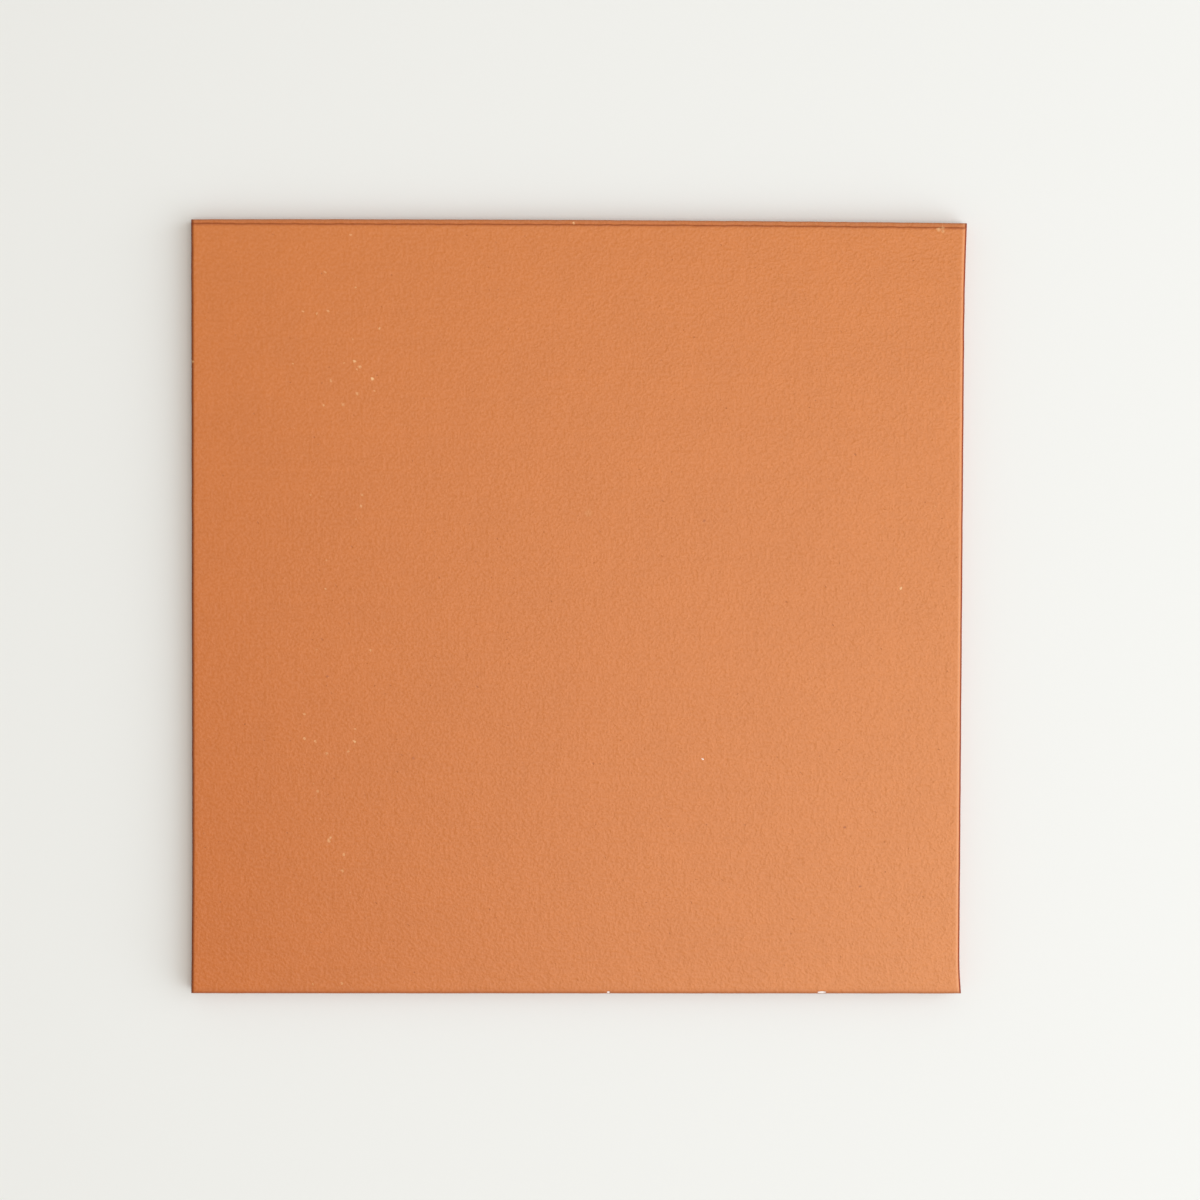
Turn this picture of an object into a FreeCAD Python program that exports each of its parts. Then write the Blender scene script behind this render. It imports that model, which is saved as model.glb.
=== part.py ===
import FreeCAD, Part
import math
import os

# Terracotta floor tile, one fired piece of clay, in millimetres.
# A column of clay runs along X out of a die that shapes its front edge and its keyed bed. It is then trimmed
# on three sides: along the back to a stepped edge, and at the two ends, where wires cut it to length.
# Origin: on the bed plane, under the middle of the tile. X is the extrusion, Y goes from the front edge to
# the back edge and Z points up to the wearing face.

# Overall size
TILE_LENGTH = 300.0  # X, over the corner tips of the two cut sides
TILE_WIDTH = 300.0  # Y, from the front edge to the crown of the bowed back edge
THICKNESS = 10.0  # Z, from the bed plane to the wearing face

# Right side: the cut is waisted, so that its corner tips stand proud
RIGHT_WAIST = 0.75
RIGHT_FRONT_FLARE = 17.5
RIGHT_BACK_FLARE = 45.0
RIGHT_ARRIS = 2.1

# Left side: straight, with only its front corner drawn out
LEFT_WAIST = 0.5
LEFT_FRONT_FLARE = 66.0
LEFT_ARRIS = 1.4

# Front edge
FRONT_ARRIS = 0.9

# Back edge: bowed in plan, with a rounded shoulder that drops to a narrow ledge
BACK_BOW = 0.5
SHOULDER_ROUND = 0.7
SHOULDER_WALL = 0.2
LEDGE_FLAT = 1.2
LEDGE_ARRIS = 0.4

# Bed: keying grooves along the whole extrusion, with a land under the middle of the tile
KEY_FLOOR = 4.8
KEY_DRAFT = 0.6
KEY_DEPTH = 1.2
KEY_LAND = 6.0
KEY_MARGIN = 8.0  # least plain land beside the front and back edges
BED_ARRIS = 0.8

# Clay left on beyond each trimmed side, and how far a trimming tool reaches past that clay
STOCK_ALLOWANCE = 2.0
TOOL_OVERRUN = 2.0

HALF_LENGTH = TILE_LENGTH / 2
HALF_WIDTH = TILE_WIDTH / 2
BACK_CORNER = HALF_WIDTH - BACK_BOW
RUN_OUT = STOCK_ALLOWANCE + TOOL_OVERRUN
TOOL_DEPTH = RUN_OUT + max(RIGHT_WAIST, LEFT_WAIST, BACK_BOW)
TOOL_TOP = THICKNESS + TOOL_OVERRUN
UP = FreeCAD.Vector(0, 0, 1)


class Outline:
    """A closed wire drawn step by step in the plane of a point, a direction across and the vertical."""

    def __init__(self, origin, across, start):
        self.origin = origin
        self.across = across
        self.points = [start]
        self.edges = []

    def place(self, point):
        return self.origin + self.across * point[0] + UP * point[1]

    def line_to(self, *ends):
        for end in ends:
            line = Part.LineSegment(self.place(self.points[-1]), self.place(end))
            self.edges.append(line.toShape())
            self.points.append(end)

    def round_to(self, end, about):
        """A circular arc to the end point about a centre, the short way round."""
        start = self.points[-1]
        middle = (start[0] + end[0] - 2 * about[0], start[1] + end[1] - 2 * about[1])
        reach = math.dist(start, about) / math.hypot(*middle)
        through = (about[0] + middle[0] * reach, about[1] + middle[1] * reach)
        arc = Part.Arc(self.place(start), self.place(through), self.place(end))
        self.edges.append(arc.toShape())
        self.points.append(end)

    def close(self):
        self.line_to(self.points[0])
        return Part.Wire(self.edges)


def key_starts():
    """Y where each keying groove starts: as many as fit on both sides of the land in the middle."""
    mouth = KEY_FLOOR + 2 * KEY_DRAFT
    pitch = mouth + KEY_LAND
    room = HALF_WIDTH - KEY_MARGIN - KEY_LAND / 2 - mouth
    nearest = [KEY_LAND / 2 + pitch * number for number in range(math.floor(room / pitch) + 1)]
    return sorted([-start - mouth for start in nearest] + nearest)


def clay_column():
    """The die's section, with the front edge and the keyed bed, extruded past both cut sides."""
    column_end = FreeCAD.Vector(-HALF_LENGTH - STOCK_ALLOWANCE, 0, 0)
    column_length = TILE_LENGTH + 2 * STOCK_ALLOWANCE
    rough_back = HALF_WIDTH + STOCK_ALLOWANCE
    arris_level = THICKNESS - FRONT_ARRIS
    section = Outline(column_end, FreeCAD.Vector(0, 1, 0), (-HALF_WIDTH, BED_ARRIS))
    section.round_to((-HALF_WIDTH + BED_ARRIS, 0), (-HALF_WIDTH + BED_ARRIS, BED_ARRIS))
    for start in key_starts():
        floor_start = start + KEY_DRAFT
        floor_end = floor_start + KEY_FLOOR
        section.line_to((start, 0), (floor_start, KEY_DEPTH))
        section.line_to((floor_end, KEY_DEPTH), (floor_end + KEY_DRAFT, 0))
    section.line_to((rough_back, 0), (rough_back, THICKNESS), (-HALF_WIDTH + FRONT_ARRIS, THICKNESS))
    section.round_to((-HALF_WIDTH, arris_level), (-HALF_WIDTH + FRONT_ARRIS, arris_level))
    return Part.Face(section.close()).extrude(FreeCAD.Vector(column_length, 0, 0))


def flare(waist, tip):
    """First, middle and last points of an arc in plan that leaves a straight cut along Y at the waist.

    At a distance d from the waist it stands out by R - sqrt(R^2 - d^2), with R such that it passes through
    the corner tip. It runs on past the tip by the run-out.
    """
    stand_out = tip.x - waist.x
    length = abs(tip.y - waist.y)
    radius = (length ** 2 + stand_out ** 2) / (2 * stand_out)

    def point(distance):
        out = radius - math.copysign(math.sqrt(radius ** 2 - distance ** 2), radius)
        return waist + FreeCAD.Vector(out, math.copysign(distance, tip.y - waist.y), 0)

    reach = length + RUN_OUT
    return point(0), point(reach / 2), point(reach)


def right_path():
    """The right side in plan, from front to back: flare, straight waist, flare."""
    waist_x = HALF_LENGTH - RIGHT_WAIST
    front_waist = FreeCAD.Vector(waist_x, -HALF_WIDTH + RIGHT_FRONT_FLARE, 0)
    back_waist = FreeCAD.Vector(waist_x, BACK_CORNER - RIGHT_BACK_FLARE, 0)
    front_flare = flare(front_waist, FreeCAD.Vector(HALF_LENGTH, -HALF_WIDTH, 0))
    back_flare = flare(back_waist, FreeCAD.Vector(HALF_LENGTH, BACK_CORNER, 0))
    return [Part.Arc(*reversed(front_flare)), Part.LineSegment(front_waist, back_waist), Part.Arc(*back_flare)]


def back_path():
    """The back edge in plan, from right to left: a shallow parabola, bowed between its two corners."""
    reach = HALF_LENGTH + RUN_OUT
    drop = BACK_BOW * (reach / HALF_LENGTH) ** 2
    right_end = FreeCAD.Vector(reach, HALF_WIDTH - drop, 0)
    left_end = FreeCAD.Vector(-reach, HALF_WIDTH - drop, 0)
    parabola = Part.BezierCurve()
    parabola.setPoles([right_end, FreeCAD.Vector(0, HALF_WIDTH + drop, 0), left_end])
    return [parabola]


def left_path():
    """The left side in plan, from back to front: straight, then one long flare to the front corner."""
    waist_x = -HALF_LENGTH + LEFT_WAIST
    back_end = FreeCAD.Vector(waist_x, HALF_WIDTH + RUN_OUT, 0)
    front_waist = FreeCAD.Vector(waist_x, -HALF_WIDTH + LEFT_FRONT_FLARE, 0)
    front_flare = flare(front_waist, FreeCAD.Vector(-HALF_LENGTH, -HALF_WIDTH, 0))
    return [Part.LineSegment(back_end, front_waist), Part.Arc(*front_flare)]


def cut_side_waste(origin, outward, arris):
    """What a wire takes off an end: all that lies outside a plumb wall and its rounded arris."""
    section = Outline(origin, outward, (0, -TOOL_OVERRUN))
    section.line_to((0, THICKNESS - arris))
    section.round_to((-arris, THICKNESS), (-arris, THICKNESS - arris))
    section.line_to((-arris, TOOL_TOP), (TOOL_DEPTH, TOOL_TOP), (TOOL_DEPTH, -TOOL_OVERRUN))
    return section.close()


def back_edge_waste(origin, outward):
    """What is taken off along the back: all outside the bed arris, wall, ledge and rounded shoulder."""
    shoulder_foot = -LEDGE_ARRIS - LEDGE_FLAT
    shoulder_top = shoulder_foot - SHOULDER_ROUND
    round_foot = THICKNESS - SHOULDER_ROUND
    ledge = round_foot - SHOULDER_WALL
    section = Outline(origin, outward, (-BED_ARRIS, -TOOL_OVERRUN))
    section.line_to((-BED_ARRIS, 0))
    section.round_to((0, BED_ARRIS), (-BED_ARRIS, BED_ARRIS))
    section.line_to((0, ledge - LEDGE_ARRIS))
    section.round_to((-LEDGE_ARRIS, ledge), (-LEDGE_ARRIS, ledge - LEDGE_ARRIS))
    section.line_to((shoulder_foot, ledge), (shoulder_foot, round_foot))
    section.round_to((shoulder_top, THICKNESS), (shoulder_top, round_foot))
    section.line_to((shoulder_top, TOOL_TOP), (TOOL_DEPTH, TOOL_TOP), (TOOL_DEPTH, -TOOL_OVERRUN))
    return section.close()


def trimming_tool(path, waste, *waste_sizes):
    """Sweeps a waste section along a side's path in plan, which has the tile on its left."""
    edges = [curve.toShape() for curve in path]
    start = edges[0]
    origin = start.valueAt(start.FirstParameter)
    outward = start.tangentAt(start.FirstParameter).cross(UP)
    sweep = Part.BRepOffsetAPI.MakePipeShell(Part.Wire(edges))
    sweep.setBiNormalMode(UP)
    sweep.add(waste(origin, outward, *waste_sizes))
    sweep.build()
    sweep.makeSolid()
    return sweep.shape()


def floor_tile():
    """The clay column, trimmed on its three sides."""
    tools = [
        trimming_tool(right_path(), cut_side_waste, RIGHT_ARRIS),
        trimming_tool(back_path(), back_edge_waste),
        trimming_tool(left_path(), cut_side_waste, LEFT_ARRIS),
    ]
    tile = clay_column()
    for tool in tools:
        tile = tile.cut(tool)
    return tile.Solids[0]


os.makedirs("parts", exist_ok=True)
tile = floor_tile()
tile.exportStep("parts/floor_tile.step")
box = tile.optimalBoundingBox(False)
print("floor_tile", "valid" if tile.isValid() else "NOT VALID", "volume", round(tile.Volume, 1), "mm3")
print("size", round(box.XLength, 3), round(box.YLength, 3), round(box.ZLength, 3), "faces", len(tile.Faces))
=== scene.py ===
import math

import bpy
import numpy as np
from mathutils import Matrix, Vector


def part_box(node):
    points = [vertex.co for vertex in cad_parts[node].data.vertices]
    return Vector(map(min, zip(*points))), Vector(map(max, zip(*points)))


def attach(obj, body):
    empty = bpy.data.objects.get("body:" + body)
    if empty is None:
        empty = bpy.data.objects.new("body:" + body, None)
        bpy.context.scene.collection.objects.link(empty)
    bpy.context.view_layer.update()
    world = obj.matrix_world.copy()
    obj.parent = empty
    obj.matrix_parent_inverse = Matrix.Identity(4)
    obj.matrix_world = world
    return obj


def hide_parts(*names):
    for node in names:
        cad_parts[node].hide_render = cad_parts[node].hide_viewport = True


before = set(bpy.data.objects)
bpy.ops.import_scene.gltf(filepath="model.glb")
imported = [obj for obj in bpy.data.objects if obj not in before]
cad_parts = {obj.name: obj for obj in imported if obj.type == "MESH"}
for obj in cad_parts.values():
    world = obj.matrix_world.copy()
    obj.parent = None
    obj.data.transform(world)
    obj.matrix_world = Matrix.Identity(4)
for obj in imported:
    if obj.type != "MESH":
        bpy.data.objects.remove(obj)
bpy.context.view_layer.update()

# Terracotta floor tile: one fired piece of clay on a plain pale floor, seen from almost straight above.
# X runs along the extrusion, Y from the front edge to the stepped back edge, Z up to the wearing face.
# Lengths are in metres, and MM turns the tile's own sizes from millimetres.

MM = 0.001
tile_low, tile_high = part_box("floor_tile")
LEFT, FRONT, BED = tile_low
RIGHT, BACK, FACE = tile_high

# Outline in plan: sides that the wire left waisted, and a bowed back edge
LEFT_WAIST = 0.5 * MM
LEFT_FRONT_FLARE = 66.0 * MM
RIGHT_WAIST = 0.75 * MM
RIGHT_FRONT_FLARE = 17.5 * MM
RIGHT_BACK_FLARE = 45.0 * MM
BACK_BOW = 0.5 * MM
CORNER_ROUND = 0.2 * MM

# Wobble of the four edges: its depth, and its wavelength along each
EDGE_WOBBLE = 0.07 * MM
LEFT_WAVE = 14.0 * MM
RIGHT_WAVE = 11.0 * MM
FRONT_WAVE = 13.0 * MM
BACK_WAVE = 9.0 * MM

# Edges in section
LEFT_ARRIS = 1.4 * MM
RIGHT_ARRIS = 2.1 * MM
FRONT_ARRIS = 0.9 * MM
LEDGE_ARRIS = 0.4 * MM
LEDGE_FLAT = 1.2 * MM
SHOULDER_ROUND = 0.7 * MM
SHOULDER_WALL = 0.2 * MM
SHOULDER_LEAN = 0.03 * MM  # from the wall's foot to its top, so that each has a row of its own
LEDGE_DEPTH = SHOULDER_ROUND + SHOULDER_WALL
SHOULDER_FOOT = LEDGE_ARRIS + LEDGE_FLAT

# Shoulder in plan: a wobble that fades out within a reach, and a ledge that narrows towards its left end
SHOULDER_WOBBLE = 0.12 * MM
SHOULDER_WAVE = 5.0 * MM
SHOULDER_REACH = 2.0 * MM
LEDGE_TAPER = 0.35 * MM
LEDGE_TAPER_LENGTH = 60.0 * MM

# Bands along the edges: darker cut clay, painted shade on the left edge and in the crease, and a painted
# highlight on the right arris. For each, inset of the middle, and half width
CREASE_SHADE_INSET = 0.42 * MM  # past the foot of the shoulder
LEFT_CLAY_AND_SHADE_BAND = (0.0 * MM, 1.55 * MM)
RIGHT_BAND = (0.42 * MM, 0.5 * MM)
ARRIS_HIGHLIGHT_BAND = (1.36 * MM, 0.55 * MM)
FRONT_BAND = (0.0 * MM, 1.5 * MM)
RIM_BAND = (0.0 * MM, 1.5 * MM)
CREASE_SHADE_BAND = (SHOULDER_FOOT + CREASE_SHADE_INSET, 0.6 * MM)

# Keyed bed
KEY_FLOOR = 4.8 * MM
KEY_DRAFT = 0.6 * MM
KEY_DEPTH = 1.2 * MM
KEY_LAND = 6.0 * MM
KEY_MARGIN = 8.0 * MM
BED_ARRIS = 0.8 * MM
KEY_MOUTH = KEY_FLOOR + 2 * KEY_DRAFT
KEY_PITCH = KEY_MOUTH + KEY_LAND
KEY_ROOM = BACK - KEY_MARGIN - KEY_LAND / 2 - KEY_MOUTH
KEYS_A_SIDE = math.floor(KEY_ROOM / KEY_PITCH) + 1
KEYS_END = KEYS_A_SIDE * KEY_PITCH - KEY_LAND / 2

# Relief of the fired face: wavelength, depth and seed of each layer of ripples
FACE_RELIEF = (
    (90.0 * MM, 0.05 * MM, 11),
    (22.0 * MM, 0.03 * MM, 12),
    (6.0 * MM, 0.035 * MM, 13),
)

# Relief of the bed, and tears in the walls, which are longer than they are high
BED_RELIEF = 0.04 * MM
BED_WAVE = 40.0 * MM
WALL_TEAR = 0.10 * MM
WALL_WAVE = 7.0 * MM
WALL_TEAR_STRETCH = 3.0

# Ripples: how many waves each has, their shortest and longest as shares of its wavelength, and seeds
RIPPLE_WAVES = 28
RIPPLE_SPREAD = (0.7, 1.4)
LEFT_SEED, RIGHT_SEED, FRONT_SEED, BACK_SEED, SHOULDER_SEED, WALL_SEED, BED_SEED = range(21, 28)

# Chips on the front arris: place along X, half length, inset of the middle, half width, depth
CHIPS = (
    (95.4 * MM, 1.95 * MM, 0.58 * MM, 0.38 * MM, 0.30 * MM),
    (12.2 * MM, 0.65 * MM, 0.55 * MM, 0.40 * MM, 0.25 * MM),
)

# Mesh: spacings, insets of rows behind the chips and on the ledge, and steps over rounds, corners and drafts
FACE_SPACING = 1.25 * MM
CHIP_SPACING = 0.2 * MM
BED_SPACING = 12.0 * MM
CHIP_ROWS = (1.05 * MM, 1.3 * MM)
LEDGE_ROW = 0.75 * MM
ROUND_STEPS = 8
CORNER_STEPS = 3
DRAFT_STEPS = 4
WALL_ROWS = 7
SKIRT = 2.0 * MM  # height over the bed at which the walls are joined to its border
SHARP_ANGLE = math.radians(38)
WHOLE_WAY = 4.0  # the way round a border, one for each side


# Shape of the tile

def ripple(x, y, wavelength, seed):
    """Sum of plane waves of about one wavelength in seeded random directions, scaled and held to -1 to 1."""
    draw = np.random.default_rng(seed)
    turn = draw.uniform(0, 2 * math.pi, RIPPLE_WAVES)
    number = 2 * math.pi / (wavelength * draw.uniform(*RIPPLE_SPREAD, RIPPLE_WAVES))
    phase = draw.uniform(0, 2 * math.pi, RIPPLE_WAVES)
    waves = np.sin(x[..., None] * number * np.cos(turn) + y[..., None] * number * np.sin(turn) + phase)
    return np.clip(waves.sum(-1) / math.sqrt(2 * RIPPLE_WAVES), -1, 1)


def inward(x, y, wavelength, depth, seed):
    """A ripple that only takes clay away: from 0 to the given depth."""
    return depth * (1 + ripple(x, y, wavelength, seed)) / 2


def spread(start, end, spacing):
    """Stations from start to end, evenly spread and at most a spacing apart."""
    return np.linspace(start, end, math.ceil((end - start) / spacing) + 1)


def round_insets(radius):
    """Insets across a quarter round at equal turns from the wall to the face: radius x (1 - cos turn)."""
    return radius * (1 - np.cos(np.linspace(0, math.pi / 2, ROUND_STEPS + 1)))


def round_depth(inset, radius):
    """Depth of a quarter round at an inset from its wall: radius - sqrt(radius^2 - (radius - inset)^2)."""
    reach = np.clip(radius - inset, 0, radius)
    return radius - np.sqrt(radius ** 2 - reach ** 2)


def flare(distance, length, stand_out):
    """How far an arc stands out past its waist: R - sqrt(R^2 - d^2), up to the corner tip at its length."""
    radius = (length ** 2 + stand_out ** 2) / (2 * stand_out)
    return radius - np.sqrt(radius ** 2 - np.clip(distance, 0, length) ** 2)


def face_columns():
    """X stations of the face: across both side arrises, evenly between, and close together at the chips."""
    left = LEFT + round_insets(LEFT_ARRIS)
    right = RIGHT - round_insets(RIGHT_ARRIS)
    between = spread(left[-1], right[-1], FACE_SPACING)
    stations = [left, right]
    for place, half_length, *_ in CHIPS:
        reach = half_length + 2 * CHIP_SPACING
        between = between[np.abs(between - place) > reach + CHIP_SPACING]
        stations.append(spread(place - reach, place + reach, CHIP_SPACING))
    return np.unique(np.concatenate([between, *stations]))


def face_rows():
    """Y stations of the face: across the front arris, evenly between, over the shoulder and the ledge."""
    front = FRONT + np.append(round_insets(FRONT_ARRIS), CHIP_ROWS)
    shoulder = BACK - SHOULDER_FOOT - round_insets(SHOULDER_ROUND)
    ledge = BACK - np.append(round_insets(LEDGE_ARRIS), (LEDGE_ROW, SHOULDER_FOOT - SHOULDER_LEAN))
    between = spread(front[-1], shoulder.min(), FACE_SPACING)
    return np.unique(np.concatenate([front, between, shoulder, ledge]))


def bed_columns():
    """X stations of the bed: close at the rounded corners, wide between, because the grooves run along X."""
    corner = np.linspace(0, CORNER_ROUND, CORNER_STEPS + 1)
    between = spread(LEFT + CORNER_ROUND, RIGHT - CORNER_ROUND, BED_SPACING)
    return np.unique(np.concatenate([LEFT + corner, between, RIGHT - corner]))


def bed_rows():
    """Y stations of the bed: across both bed arrises, and over each groove's two drafts and its floor."""
    draft = np.linspace(0, KEY_DRAFT, DRAFT_STEPS + 1)
    groove = np.concatenate([draft, [KEY_MOUTH / 2], KEY_MOUTH - draft])
    starts = KEY_LAND / 2 + KEY_PITCH * np.arange(-KEYS_A_SIDE, KEYS_A_SIDE)
    arris = round_insets(BED_ARRIS)
    grooves = (starts[:, None] + groove).ravel()
    return np.unique(np.concatenate([FRONT + arris, grooves, BACK - arris]))


def place_in_plan(x, y):
    """Moves points of the plain square to the fired outline.

    Each corner is rounded by the map of a square on a disc, with u and v the shares of the corner's round:
    u -> u sqrt(1 - v^2 / 2) and v -> v sqrt(1 - u^2 / 2). Then each side is drawn in by its waist or bow
    less its flares and by a small wobble, and that pull fades evenly towards the side opposite.
    """
    u = 1 - np.clip(np.minimum(x - LEFT, RIGHT - x) / CORNER_ROUND, 0, 1)
    v = 1 - np.clip(np.minimum(y - FRONT, BACK - y) / CORNER_ROUND, 0, 1)
    round_x = x - np.sign(x) * CORNER_ROUND * u * (1 - np.sqrt(1 - v ** 2 / 2))
    round_y = y - np.sign(y) * CORNER_ROUND * v * (1 - np.sqrt(1 - u ** 2 / 2))
    along = np.zeros_like(x)
    left = LEFT_WAIST - flare(FRONT + LEFT_FRONT_FLARE - y, LEFT_FRONT_FLARE, LEFT_WAIST)
    right = RIGHT_WAIST - flare(FRONT + RIGHT_FRONT_FLARE - y, RIGHT_FRONT_FLARE, RIGHT_WAIST)
    right = right - flare(y - BACK + BACK_BOW + RIGHT_BACK_FLARE, RIGHT_BACK_FLARE, RIGHT_WAIST)
    back = BACK_BOW * (x / RIGHT) ** 2
    left = left + inward(along, y, LEFT_WAVE, EDGE_WOBBLE, LEFT_SEED)
    right = right + inward(along, y, RIGHT_WAVE, EDGE_WOBBLE, RIGHT_SEED)
    front = inward(x, along, FRONT_WAVE, EDGE_WOBBLE, FRONT_SEED)
    back = back + inward(x, along, BACK_WAVE, EDGE_WOBBLE, BACK_SEED)
    to_right = (x - LEFT) / (RIGHT - LEFT)
    to_back = (y - FRONT) / (BACK - FRONT)
    plan_x = round_x + left * (1 - to_right) - right * to_right
    plan_y = round_y + front * (1 - to_back) - back * to_back
    return plan_x, plan_y


def chip_scoop(x, y):
    """Depth and share of the chips in the front arris, scooped like bowls.

    The share is 1 - u^2 - v^2, with u and v in half lengths and half widths. The depth goes with its root.
    """
    depth = np.zeros_like(x)
    share = np.zeros_like(x)
    for place, half_length, middle, half_width, down in CHIPS:
        bowl = 1 - ((x - place) / half_length) ** 2 - ((y - FRONT - middle) / half_width) ** 2
        depth = np.maximum(depth, down * np.sqrt(np.clip(bowl, 0, 1)))
        share = np.maximum(share, bowl)
    return depth, share


def back_depth(inset):
    """Depth of the stepped back edge at an inset from its wall: arris, ledge, wall and rounded shoulder."""
    ledge = LEDGE_DEPTH + round_depth(inset, LEDGE_ARRIS)
    shoulder = round_depth(inset - SHOULDER_FOOT, SHOULDER_ROUND)
    return np.where(inset < SHOULDER_FOOT - SHOULDER_LEAN / 2, ledge, shoulder)


def band(inset, middle, half_width):
    """Strength of a band along an edge: 1 at the inset of its middle, evenly down to 0 at its half width."""
    return np.clip(1 - np.abs(inset - middle) / half_width, 0, 1)


def face_surface():
    """The face and its four edges: a height over the plan, FACE less the deepest of the edges' sections.

    The chips and the relief take more clay away. In plan the shoulder wobbles, and closes in on the back at
    the left. The marks along the edges come with it.
    """
    x, y = np.meshgrid(face_columns(), face_rows())
    arris = np.maximum(round_depth(x - LEFT, LEFT_ARRIS), round_depth(RIGHT - x, RIGHT_ARRIS))
    arris = np.maximum(arris, round_depth(y - FRONT, FRONT_ARRIS))
    scoop, chip_and_rim_shadow = chip_scoop(x, y)
    depth = np.maximum(arris, back_depth(BACK - y)) + scoop
    for wavelength, relief, seed in FACE_RELIEF:
        depth = depth + inward(x, y, wavelength, relief, seed)
    plan_x, plan_y = place_in_plan(x, y)
    near_shoulder = np.clip(1 - np.abs(BACK - y - SHOULDER_FOOT) / SHOULDER_REACH, 0, 1)
    shift = SHOULDER_WOBBLE * ripple(x, np.zeros_like(x), SHOULDER_WAVE, SHOULDER_SEED)
    shift = shift + LEDGE_TAPER * np.clip(1 - (x - LEFT) / LEDGE_TAPER_LENGTH, 0, 1) ** 2
    plan_y = plan_y + shift * near_shoulder * (y < BACK - LEDGE_ARRIS)
    # Marks for the tints, among them painted shade on the left edge and in the crease, a painted highlight
    # on the right arris, and the chips with a painted shadow round their rims
    marks = {
        "left_edge_clay_and_shade": band(x - LEFT, *LEFT_CLAY_AND_SHADE_BAND),
        "right_edge": band(RIGHT - x, *RIGHT_BAND),
        "painted_highlight": band(RIGHT - x, *ARRIS_HIGHLIGHT_BAND),
        "front_edge": band(y - FRONT, *FRONT_BAND),
        "rim": band(BACK - y, *RIM_BAND),
        "painted_crease_shade": band(BACK - y, *CREASE_SHADE_BAND),
        "chip_and_rim_shadow": chip_and_rim_shadow,
    }
    return np.stack([plan_x, plan_y, FACE - depth], -1), marks


def bed_surface():
    """The bed: a height over the plan that rises into each groove, over soft drafts, and at both arrises.

    Across the lands and grooves the share of the depth is s^2 (3 - 2 s), with s the way up the draft. The
    share of wall comes with it: 1 at the front and back edges, falling to 0 across their arrises.
    """
    x, y = np.meshgrid(bed_columns(), bed_rows())
    from_land = np.abs((y + KEY_PITCH / 2) % KEY_PITCH - KEY_PITCH / 2)
    up_draft = np.clip((from_land - KEY_LAND / 2) / KEY_DRAFT, 0, 1) * (np.abs(y) < KEYS_END)
    key = KEY_DEPTH * up_draft ** 2 * (3 - 2 * up_draft)
    arris = np.maximum(round_depth(y - FRONT, BED_ARRIS), round_depth(BACK - y, BED_ARRIS))
    height = np.maximum(key, arris) + inward(x, y, BED_WAVE, BED_RELIEF, BED_SEED)
    wall = band(np.minimum(y - FRONT, BACK - y), 0, BED_ARRIS)
    return np.stack([*place_in_plan(x, y), BED + height], -1), wall


def numbered(first, surface):
    """Numbers of a surface's points on its grid, from the first on."""
    rows, columns = surface.shape[:2]
    return first + np.arange(rows * columns).reshape(rows, columns)


def ring_of(grid):
    """The border of a grid of numbers, anticlockwise from the front left corner."""
    return np.concatenate([grid[0, :-1], grid[:-1, -1], grid[-1, :0:-1], grid[:0:-1, 0]])


def ring_way(columns, rows):
    """The way round the border at each border point of a grid, from 0 to the whole way."""
    x = (columns - LEFT) / (RIGHT - LEFT)
    y = (rows - FRONT) / (BACK - FRONT)
    return np.concatenate([x[:-1], 1 + y[:-1], 3 - x[:0:-1], WHOLE_WAY - y[:0:-1]])


def wall_surface(rim, skirt_height):
    """The four walls: the face's border carried plumb to the skirt, torn inwards a little on the way."""
    share = np.linspace(0, 1, WALL_ROWS + 1)[1:, None]
    points = np.repeat(rim[None], WALL_ROWS, 0)
    points[..., 2] = rim[:, 2] * (1 - share) + skirt_height * share
    side = np.abs(points[..., 0] / RIGHT) > np.abs(points[..., 1] / BACK)
    along = np.where(side, points[..., 1], points[..., 0])
    up = WALL_TEAR_STRETCH * points[..., 2]
    tear = inward(along, up, WALL_WAVE, WALL_TEAR, WALL_SEED) * np.sin(math.pi * share)
    points[..., 0] -= np.where(side, np.sign(points[..., 0]) * tear, 0)
    points[..., 1] -= np.where(side, 0, np.sign(points[..., 1]) * tear)
    return points


def grid_faces(numbers):
    """The four-sided faces of a grid of point numbers, facing up where X and Y grow along it."""
    corners = [numbers[:-1, :-1], numbers[:-1, 1:], numbers[1:, 1:], numbers[1:, :-1]]
    return np.stack(corners, -1).reshape(-1, 4)


def zip_rings(upper, upper_way, lower, lower_way):
    """Triangles between two closed rings of different counts, taken in the order of their edges' middles."""
    upper_way = np.append(upper_way, WHOLE_WAY)
    lower_way = np.append(lower_way, WHOLE_WAY)
    upper_middle = (upper_way[1:] + upper_way[:-1]) / 2
    lower_middle = (lower_way[1:] + lower_way[:-1]) / 2
    below = np.searchsorted(lower_middle, upper_middle, "left") % len(lower)
    above = np.searchsorted(upper_middle, lower_middle, "right") % len(upper)
    hanging = np.stack([upper, lower[below], np.roll(upper, -1)], -1)
    standing = np.stack([lower, np.roll(lower, -1), upper[above]], -1)
    return np.concatenate([hanging, standing])


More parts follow.
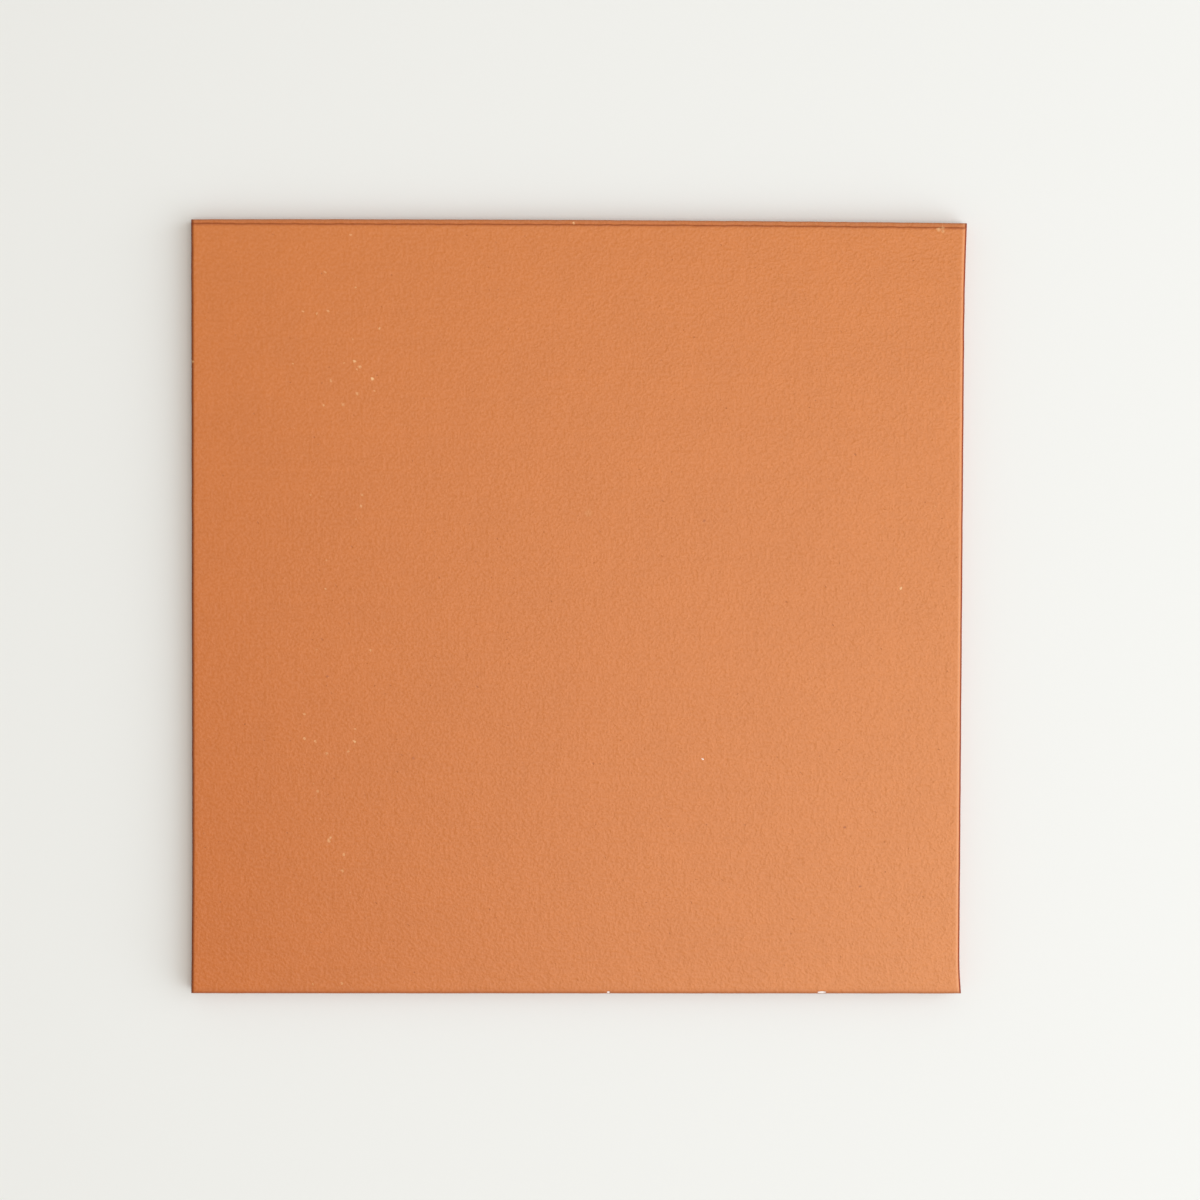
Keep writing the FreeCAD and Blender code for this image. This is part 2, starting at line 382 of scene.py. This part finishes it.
def build_tile():
    """One closed mesh: face, walls and bed, with the walls zipped to the bed's crenellated border.

    Its marks are point attributes that the clay reads: bands along the edges, chips, walls and bed.
    """
    face, marks = face_surface()
    bed, bed_wall = bed_surface()
    face_numbers = numbered(0, face)
    face_ring = ring_of(face_numbers)
    walls = wall_surface(face.reshape(-1, 3)[face_ring], BED + SKIRT)
    wall_numbers = numbered(face_numbers.size, walls)
    first_bed = face_numbers.size + wall_numbers.size
    bed_numbers = numbered(first_bed, bed)
    bed_ring = ring_of(bed_numbers)
    wall_rings = np.concatenate([face_ring[None], wall_numbers])
    wall_rings = np.concatenate([wall_rings, wall_rings[:, :1]], 1)
    grids = (face_numbers, wall_rings[::-1], bed_numbers.T)
    quads = np.concatenate([grid_faces(grid) for grid in grids])
    face_way = ring_way(face_columns(), face_rows())
    bed_way = ring_way(bed_columns(), bed_rows())
    skirt = zip_rings(wall_numbers[-1], face_way, bed_ring, bed_way)
    points = np.concatenate([part.reshape(-1, 3) for part in (face, walls, bed)])

    mesh = bpy.data.meshes.new("terracotta_tile")
    mesh.from_pydata(points.tolist(), [], quads.tolist() + skirt.tolist())
    mesh.shade_smooth()
    mesh.set_sharp_from_angle(angle=SHARP_ANGLE)

    off_face = np.zeros(len(points) - face_numbers.size)
    marks = {name: np.append(mark, off_face) for name, mark in marks.items()}
    wall = np.append(np.zeros(first_bed), bed_wall)
    wall[wall_rings] = 1
    wall[bed_ring] = 1
    marks["wall"] = wall
    marks["bed"] = np.append(np.zeros(first_bed), 1 - wall[first_bed:])
    for name, mark in marks.items():
        mesh.attributes.new(name, "FLOAT", "POINT").data.foreach_set("value", mark.astype(np.float32))
    return mesh


# Sizes and strengths of the clay's skin

# Noise: size and detail of the orange peel, the swells and the clouds, and of drag lines along the extrusion
PEEL_SIZE = 1.1 * MM
PEEL_DETAIL = 1.5
SWELL_SIZE = 3.0 * MM
SWELL_DETAIL = 1.0
CLOUD_SIZE = 18.0 * MM
CLOUD_DETAIL = 3.0
DRAG_LENGTH = 150.0 * MM
DRAG_WIDTH = 2.5 * MM
DRAG_DETAIL = 1.0
NOISE_MEAN = 0.5

# How much the swells, the clouds and the drag lines change the clay's brightness
SWELL_SHADE = 0.05
CLOUD_SHADE = 0.08
DRAG_SHADE = 0.04

# Paler tops of the peel: the levels at which they start and are full, their strength and colour
TOPS_START = 0.35
TOPS_FULL = 0.65
TOPS_STRENGTH = 0.105
TOPS_COLOUR = "#F9A773"

# Gloss of a dry, unglazed skin
ROUGH_HOLLOWS = 0.56
ROUGH_TOPS = 0.46
CLAY_IOR = 1.5

# Heights of the relief, its strength at the front left, and what that gains to the right and to the back
PEEL_HEIGHT = 0.24 * MM
SWELL_HEIGHT = 0.20 * MM
PIT_DEPTH = 0.20 * MM
GROWTH_FRONT_LEFT = 0.76
GROWTH_TO_RIGHT = 0.84
GROWTH_TO_BACK = -0.46

# Colours of the clay at the four corners, paler to the right front partly by the clay's own tone and partly
# by a painted sheen, of small and larger pits, and of grains of grog and lime
CLAY_AND_SHEEN_FRONT_LEFT = "#C76A21"
CLAY_AND_SHEEN_FRONT_RIGHT = "#DA894C"
CLAY_AND_SHEEN_BACK_LEFT = "#CD7227"
CLAY_AND_SHEEN_BACK_RIGHT = "#D27A32"
SMALL_PIT_COLOUR = "#8A4522"
OPEN_PIT_COLOUR = "#8A4020"
GROG_COLOUR = "#FACA8E"
LIME_COLOUR = "#FFF6EA"

# Tints by the mesh's marks: name, the mark's levels where the tint starts and is full, strength, colour and
# added roughness
EDGE_TINTS = (
    ("wall", 0.0, 0.2, 0.85, "#8E4420", 0.3),
    # darker cut clay on the left arris, deepened by painted shade on the side away from the window
    ("left_edge_clay_and_shade", 0.1, 0.75, 0.9, "#702B0A", 0.4),
    ("right_edge", 0.05, 0.5, 0.95, "#8A2C04", 0.4),
    # painted highlight: a pale band on the right arris, where the window light glints
    ("painted_highlight", 0.0, 1.0, 0.2, "#FFD2A8", 0.0),
    ("front_edge", 0.0, 1.0, 0.68, "#8A4020", 0.4),
    ("rim", 0.0, 1.0, 0.5, "#85543F", 0.4),
    # painted shade: darker clay in the crease at the foot of the shoulder, where shade falls
    ("painted_crease_shade", 0.25, 0.9, 0.75, "#8E3A10", 0.2),
    ("bed", 0.0, 1.0, 0.45, "#C98A62", 0.3),
    # painted shadow: a dark line round the rim of each chip
    ("chip_and_rim_shadow", 0.0, 0.15, 0.7, "#8A4628", 0.2),
    ("chip_and_rim_shadow", 0.12, 0.35, 1.0, "#FFF8F0", 0.2),
)
EDGE_BREAK = 0.2  # share by which the swell makes those marks stronger and weaker

# Small spots in random cells: spacing, largest radius, least luck, luck added in the band, and strength
SMALL_PITS = (3.0 * MM, 0.60 * MM, 0.25, 0.0, 0.38)
SMALL_GRAINS = (5.0 * MM, 0.65 * MM, 0.70, 0.5, 0.34)
MOST_LUCK = 1.2  # at which a spot has its largest radius
SPOT_FADE = 1 / 3  # share of that radius over which a spot fades out

# Band along Y that holds most of the small grains: its middle along X, its half width, and that of its core
GRAIN_BAND = -92.0 * MM
GRAIN_BAND_HALF = 22.0 * MM
GRAIN_BAND_CORE = 11.0 * MM

# Marks on the face: colour, then for each its place along X and Y and its half width in millimetres, and its
# strength
MARKS = (
    (GROG_COLOUR, (  # grains of grog, a nick and rubbed clay
        (-79.7, 88.4, 0.78, 0.80),
        (-86.6, 95.1, 0.80, 0.60),
        (-84.5, 93.0, 0.75, 0.50),
        (-85.5, 82.7, 0.70, 0.40),
        (-91.0, 78.5, 0.90, 0.30),
        (-76.9, 107.8, 0.70, 0.50),
        (-95.8, -89.2, 0.70, 0.50),
        (-96.6, -90.3, 0.75, 0.45),
        (-91.3, -101.9, 0.75, 0.30),
        (-97.3, -56.5, 0.80, 0.35),
        (-101.8, -51.7, 0.65, 0.40),
        (-100.8, -71.1, 0.75, 0.30),
        (-95.7, 87.6, 0.75, 0.30),
        (-86.5, -51.7, 0.70, 0.60),
        (-2.3, 148.8, 0.65, 1.00),
        (125.0, 8.3, 0.78, 1.00),
        (138.8, 146.9, 0.95, 0.55),
        (140.3, 147.6, 0.95, 0.35),
        (140.4, 146.2, 0.80, 0.35),
        (-148.9, 94.8, 0.75, 0.45),
        (3.8, 37.0, 2.00, 0.09),
    )),
    (LIME_COLOUR, (  # a grain of lime
        (48.6, -58.4, 0.43, 1.00),
    )),
    (OPEN_PIT_COLOUR, (  # open pits
        (48.7, 34.0, 0.90, 0.40),
        (103.8, -84.8, 0.75, 0.55),
        (110.0, -108.0, 0.80, 0.40),
        (-97.0, -26.6, 0.80, 0.40),
        (-63.8, -58.2, 0.80, 0.35),
    )),
)
MARK_CORE = 1 / 3  # share of the half width at which a mark is full
MARK_FLATNESS = 0.3  # share of a height that counts, so that a mark at an edge runs down over it
RAGGED = 1.5 * MM  # span of the peel's push on the outlines of pits, grains and marks


# Materials

def linear(hex_colour):
    """Linear red, green, blue and alpha of an sRGB hex colour."""
    shares = [int(hex_colour[start:start + 2], 16) / 255 for start in (1, 3, 5)]
    return [s / 12.92 if s <= 0.04045 else ((s + 0.055) / 1.055) ** 2.4 for s in shares] + [1.0]


def wire(tree, kind, sockets, out=0, **settings):
    """Adds a node with its settings, sets or links its sockets, and gives one of its outputs, if any."""
    node = tree.nodes.new(kind)
    for name, value in settings.items():
        setattr(node, name, value)
    for socket, value in sockets.items():
        if isinstance(value, bpy.types.NodeSocket):
            tree.links.new(value, node.inputs[socket])
        else:
            node.inputs[socket].default_value = value
    return node.outputs[out] if node.outputs else None


# A Mix node for colours: its sockets, and its output and setting
MIX_SHARE, MIX_FIRST, MIX_SECOND = 0, 6, 7
COLOUR_MIX = {"out": 2, "data_type": "RGBA"}


def empty_material(name):
    """A material with no nodes yet."""
    material = bpy.data.materials.new(name)
    material.use_nodes = True
    material.node_tree.nodes.clear()
    return material


def clay_tone_and_sheen(tree, to_right, to_back):
    """Broad drift of tone, partly the clay's own and partly a painted sheen that grows to the right front: a
    blend of the four corners' colours by the ways to the right and to the back.
    """
    front = {MIX_SHARE: to_right, MIX_FIRST: linear(CLAY_AND_SHEEN_FRONT_LEFT), MIX_SECOND: linear(CLAY_AND_SHEEN_FRONT_RIGHT)}
    front_clay_and_sheen = wire(tree, "ShaderNodeMix", front, **COLOUR_MIX)
    back = {MIX_SHARE: to_right, MIX_FIRST: linear(CLAY_AND_SHEEN_BACK_LEFT), MIX_SECOND: linear(CLAY_AND_SHEEN_BACK_RIGHT)}
    back_clay_and_sheen = wire(tree, "ShaderNodeMix", back, **COLOUR_MIX)
    both = {MIX_SHARE: to_back, MIX_FIRST: front_clay_and_sheen, MIX_SECOND: back_clay_and_sheen}
    return wire(tree, "ShaderNodeMix", both, **COLOUR_MIX)


def shaded(tree, place, clay, swell):
    """The clay made lighter and darker by swells, by clouds and by drag lines along the extrusion."""
    clouds = {"Vector": place, "Scale": 1 / CLOUD_SIZE, "Detail": CLOUD_DETAIL}
    cloud = wire(tree, "ShaderNodeTexNoise", clouds)
    drag_scale = [1 / size for size in (DRAG_LENGTH, DRAG_WIDTH, DRAG_WIDTH)]
    drag_place = wire(tree, "ShaderNodeMapping", {"Vector": place, "Scale": drag_scale})
    drag = wire(tree, "ShaderNodeTexNoise", {"Vector": drag_place, "Scale": 1.0, "Detail": DRAG_DETAIL})
    shade = 1.0
    for layer, amount in ((swell, SWELL_SHADE), (cloud, CLOUD_SHADE), (drag, DRAG_SHADE)):
        levels = {"Value": layer, "To Min": 1 - amount / 2, "To Max": 1 + amount / 2}
        level = wire(tree, "ShaderNodeMapRange", levels)
        shade = wire(tree, "ShaderNodeMath", {0: shade, 1: level}, operation="MULTIPLY")
    return wire(tree, "ShaderNodeVectorMath", {0: clay, "Scale": shade}, operation="SCALE")


def edge_tints(tree, swell, rough):
    """Darker, rougher clay on cut edges and walls, pale clay in the chips, and painted light: shade on the
    left edge and in the crease, a highlight on the right arris and a shadow round the chips.

    Gives each tint's share and colour, broken up by the swell, and the roughness with what the tints add.
    """
    broken = wire(tree, "ShaderNodeMapRange", {"Value": swell, "To Min": -EDGE_BREAK, "To Max": EDGE_BREAK})
    tints = []
    for name, start, full, strength, tint, rougher in EDGE_TINTS:
        mark = wire(tree, "ShaderNodeAttribute", {}, "Fac", attribute_name=name)
        mark = wire(tree, "ShaderNodeMath", {0: broken, 1: mark, 2: mark}, operation="MULTIPLY_ADD")
        levels = {"Value": mark, "From Min": start, "From Max": full, "To Max": strength}
        share = wire(tree, "ShaderNodeMapRange", levels)
        tints.append((share, tint))
        rough = wire(tree, "ShaderNodeMath", {0: share, 1: rougher, 2: rough}, operation="MULTIPLY_ADD")
    return tints, rough


def small_spots(tree, ragged, across, spacing, radius, least_luck, band_luck, strength):
    """Share of the small spots, which lie in the luckier of random cells and grow with their luck."""
    off_band = wire(tree, "ShaderNodeMath", {0: across, 1: GRAIN_BAND}, operation="SUBTRACT")
    off_band = wire(tree, "ShaderNodeMath", {0: off_band}, operation="ABSOLUTE")
    band_levels = {"From Min": GRAIN_BAND_HALF, "From Max": GRAIN_BAND_CORE, "To Max": band_luck}
    in_band = wire(tree, "ShaderNodeMapRange", {"Value": off_band, **band_levels})
    way = wire(tree, "ShaderNodeTexVoronoi", {"Vector": ragged, "Scale": 1 / spacing}, "Distance")
    luck = wire(tree, "ShaderNodeMath", {0: way.node.outputs["Color"], 1: in_band}, operation="ADD")
    size = radius / spacing
    levels = {"Value": luck, "From Min": least_luck, "From Max": MOST_LUCK, "To Max": size}
    reach = wire(tree, "ShaderNodeMapRange", levels)
    inside = wire(tree, "ShaderNodeMath", {0: reach, 1: way}, operation="SUBTRACT")
    levels = {"Value": inside, "From Max": size * SPOT_FADE, "To Max": strength}
    return wire(tree, "ShaderNodeMapRange", levels)


def face_marks(tree, ragged, marks):
    """Share of the marks that stand out: the strongest of ragged spots, each about its place on the face."""
    flat = (1, 1, MARK_FLATNESS)
    flat_place = wire(tree, "ShaderNodeVectorMath", {0: ragged, 1: flat}, operation="MULTIPLY")
    strongest = 0.0
    for x, y, half_width, strength in marks:
        centre = (x * MM, y * MM, FACE * MARK_FLATNESS)
        way = wire(tree, "ShaderNodeVectorMath", {0: flat_place, 1: centre}, "Value", operation="DISTANCE")
        edge = half_width * MM
        levels = {"Value": way, "From Min": edge, "From Max": edge * MARK_CORE, "To Max": strength}
        share = wire(tree, "ShaderNodeMapRange", levels)
        strongest = wire(tree, "ShaderNodeMath", {0: strongest, 1: share}, operation="MAXIMUM")
    return strongest


def skin_relief(tree, peel, swell, pits, to_right, to_back):
    """The bumps of the skin: swells and peel less the pits, growing to the right and to the front."""
    height = wire(tree, "ShaderNodeMath", {0: swell, 1: SWELL_HEIGHT}, operation="MULTIPLY")
    for layer, size in ((peel, PEEL_HEIGHT), (pits, -PIT_DEPTH)):
        height = wire(tree, "ShaderNodeMath", {0: layer, 1: size, 2: height}, operation="MULTIPLY_ADD")
    growth = GROWTH_FRONT_LEFT
    for way, slope in ((to_right, GROWTH_TO_RIGHT), (to_back, GROWTH_TO_BACK)):
        growth = wire(tree, "ShaderNodeMath", {0: way, 1: slope, 2: growth}, operation="MULTIPLY_ADD")
    height = wire(tree, "ShaderNodeMath", {0: height, 1: growth}, operation="MULTIPLY")
    return wire(tree, "ShaderNodeBump", {"Height": height, "Distance": 1.0, "Strength": 1.0})


def terracotta():
    """Unglazed terracotta, extruded and fired: a satin skin with an orange-peel relief, uneven from firing.

    It shows a broad drift of tone that is partly a painted sheen, faint drag lines along the extrusion,
    small open pits, pale grains of grog and lime, and darker, redder clay where the edges were cut. Painted
    light lies on its
    edges too: shade on the left edge and in the crease, a highlight on the right arris and a shadow round
    the chips.
    """
    material = empty_material("unglazed_terracotta")
    tree = material.node_tree
    place = wire(tree, "ShaderNodeTexCoord", {}, "Object")
    across = wire(tree, "ShaderNodeSeparateXYZ", {0: place}, "X")
    along = across.node.outputs["Y"]
    to_right = wire(tree, "ShaderNodeMapRange", {"Value": across, "From Min": LEFT, "From Max": RIGHT})
    to_back = wire(tree, "ShaderNodeMapRange", {"Value": along, "From Min": FRONT, "From Max": BACK})
    peels = {"Vector": place, "Scale": 1 / PEEL_SIZE, "Detail": PEEL_DETAIL}
    peel = wire(tree, "ShaderNodeTexNoise", peels)
    swells = {"Vector": place, "Scale": 1 / SWELL_SIZE, "Detail": SWELL_DETAIL}
    swell = wire(tree, "ShaderNodeTexNoise", swells)
    rough = wire(tree, "ShaderNodeMapRange", {"Value": peel, "To Min": ROUGH_HOLLOWS, "To Max": ROUGH_TOPS})

    # The place, pushed about by the peel, so that pits and grains have broken outlines
    push = wire(tree, "ShaderNodeMath", {0: peel, 1: NOISE_MEAN}, operation="SUBTRACT")
    pushed = {0: push, 1: (RAGGED, -RAGGED, 0), 2: place}
    ragged = wire(tree, "ShaderNodeVectorMath", pushed, operation="MULTIPLY_ADD")

    # Tints over the clay, in order: tops of the peel, edges, small pits and grains, and marks that stand out
    levels = {"Value": peel, "From Min": TOPS_START, "From Max": TOPS_FULL, "To Max": TOPS_STRENGTH}
    tops = wire(tree, "ShaderNodeMapRange", levels)
    edges, rough = edge_tints(tree, swell, rough)
    pits = small_spots(tree, ragged, across, *SMALL_PITS)
    grains = small_spots(tree, ragged, across, *SMALL_GRAINS)
    marks = [(face_marks(tree, ragged, places), tint) for tint, places in MARKS]
    tints = [(tops, TOPS_COLOUR), *edges, (pits, SMALL_PIT_COLOUR), (grains, GROG_COLOUR), *marks]
    colour = shaded(tree, place, clay_tone_and_sheen(tree, to_right, to_back), swell)
    for share, tint in tints:
        layers = {MIX_SHARE: share, MIX_FIRST: colour, MIX_SECOND: linear(tint)}
        colour = wire(tree, "ShaderNodeMix", layers, **COLOUR_MIX)

    relief = skin_relief(tree, peel, swell, pits, to_right, to_back)
    surface = {"Base Color": colour, "Roughness": rough, "Normal": relief, "IOR": CLAY_IOR}
    skin = wire(tree, "ShaderNodeBsdfPrincipled", surface)
    wire(tree, "ShaderNodeOutputMaterial", {"Surface": skin})
    return material


# Studio

# Floor: its size, how far from the middle it stays plain before it melts away, and its matt paint
FLOOR_SIZE = 2.4
FLOOR_PLAIN = 0.4
FLOOR_COLOUR = "#EFF0EB"
FLOOR_ROUGHNESS = 0.95
FLOOR_IOR = 1.3

# Soft lights: place, size, power in watts and colour
OVERHEAD = ((0.25, -0.04, 2.39), 1.0, 17.8, "#FFFFFF")
WINDOW = ((1.92, -0.41, 1.38), 3.2, 55.7, "#EAF2FF")

# Light from all round, and the colour that the camera sees past the floor
ROOM_LIGHT = 0.435
ROOM_COLOUR = "#FFF6EC"
BACKDROP_COLOUR = "#F1F1EE"

# Camera: place, turns in degrees, and focal length and sensor width in millimetres
CAMERA_PLACE = (-10.71 * MM, 41.3 * MM, 1106.2 * MM)
CAMERA_TURNS = (-1.987, -0.991, 0.190)
CAMERA_LENS = 85.0
CAMERA_SENSOR = 36.0


def pale_floor():
    """A matt pale studio floor, plain so that only the tile draws the eye, melting into the backdrop."""
    material = empty_material("matt_studio_floor")
    tree = material.node_tree
    place = wire(tree, "ShaderNodeTexCoord", {}, "Object")
    away = wire(tree, "ShaderNodeVectorMath", {0: place}, "Value", operation="LENGTH")
    levels = {"Value": away, "From Min": FLOOR_PLAIN, "From Max": FLOOR_SIZE / 2}
    melted = wire(tree, "ShaderNodeMapRange", levels, interpolation_type="SMOOTHSTEP")
    surface = {"Base Color": linear(FLOOR_COLOUR), "Roughness": FLOOR_ROUGHNESS, "IOR": FLOOR_IOR}
    floor = wire(tree, "ShaderNodeBsdfPrincipled", surface)
    clear = wire(tree, "ShaderNodeBsdfTransparent", {})
    both = wire(tree, "ShaderNodeMixShader", {0: melted, 1: floor, 2: clear})
    wire(tree, "ShaderNodeOutputMaterial", {"Surface": both})
    return material


def studio_floor():
    """A flat square floor under the tile."""
    half = FLOOR_SIZE / 2
    mesh = bpy.data.meshes.new("studio_floor")
    corners = [(-half, -half, BED), (half, -half, BED), (half, half, BED), (-half, half, BED)]
    mesh.from_pydata(corners, [], [(0, 1, 2, 3)])
    mesh.materials.append(pale_floor())
    floor = bpy.data.objects.new("studio_floor", mesh)
    bpy.context.scene.collection.objects.link(floor)


def soft_light(name, place, size, power, colour):
    """A square soft light that looks at the middle of the tile."""
    lamp = bpy.data.lights.new(name, "AREA")
    lamp.shape = "SQUARE"
    lamp.size = size
    lamp.energy = power
    lamp.color = linear(colour)[:3]
    light = bpy.data.objects.new(name, lamp)
    light.location = place
    light.rotation_euler = light.location.to_track_quat("Z", "Y").to_euler()
    bpy.context.scene.collection.objects.link(light)


def pale_world():
    """Even light from all round, and a pale background where the camera looks past the floor."""
    world = bpy.data.worlds.new("studio")
    world.use_nodes = True
    tree = world.node_tree
    tree.nodes.clear()
    seen = wire(tree, "ShaderNodeLightPath", {}, "Is Camera Ray")
    lit = wire(tree, "ShaderNodeBackground", {"Color": linear(ROOM_COLOUR), "Strength": ROOM_LIGHT})
    backdrop = wire(tree, "ShaderNodeBackground", {"Color": linear(BACKDROP_COLOUR), "Strength": 1.0})
    both = wire(tree, "ShaderNodeMixShader", {0: seen, 1: lit, 2: backdrop})
    wire(tree, "ShaderNodeOutputWorld", {"Surface": both})
    bpy.context.scene.world = world


def camera():
    """The photograph's viewpoint: over the tile, tipped by a degree or two."""
    view = bpy.data.cameras.new("camera")
    view.lens = CAMERA_LENS
    view.sensor_width = CAMERA_SENSOR
    seat = bpy.data.objects.new("camera", view)
    seat.location = CAMERA_PLACE
    seat.rotation_euler = [math.radians(turn) for turn in CAMERA_TURNS]
    bpy.context.scene.collection.objects.link(seat)
    bpy.context.scene.camera = seat


tile_mesh = build_tile()
tile_mesh.materials.append(terracotta())
tile = bpy.data.objects.new("terracotta_tile", tile_mesh)
bpy.context.scene.collection.objects.link(tile)
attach(tile, "root")
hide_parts("floor_tile")

studio_floor()
soft_light("overhead", *OVERHEAD)
soft_light("window", *WINDOW)
pale_world()
camera()
bpy.context.scene.view_settings.view_transform = "Standard"
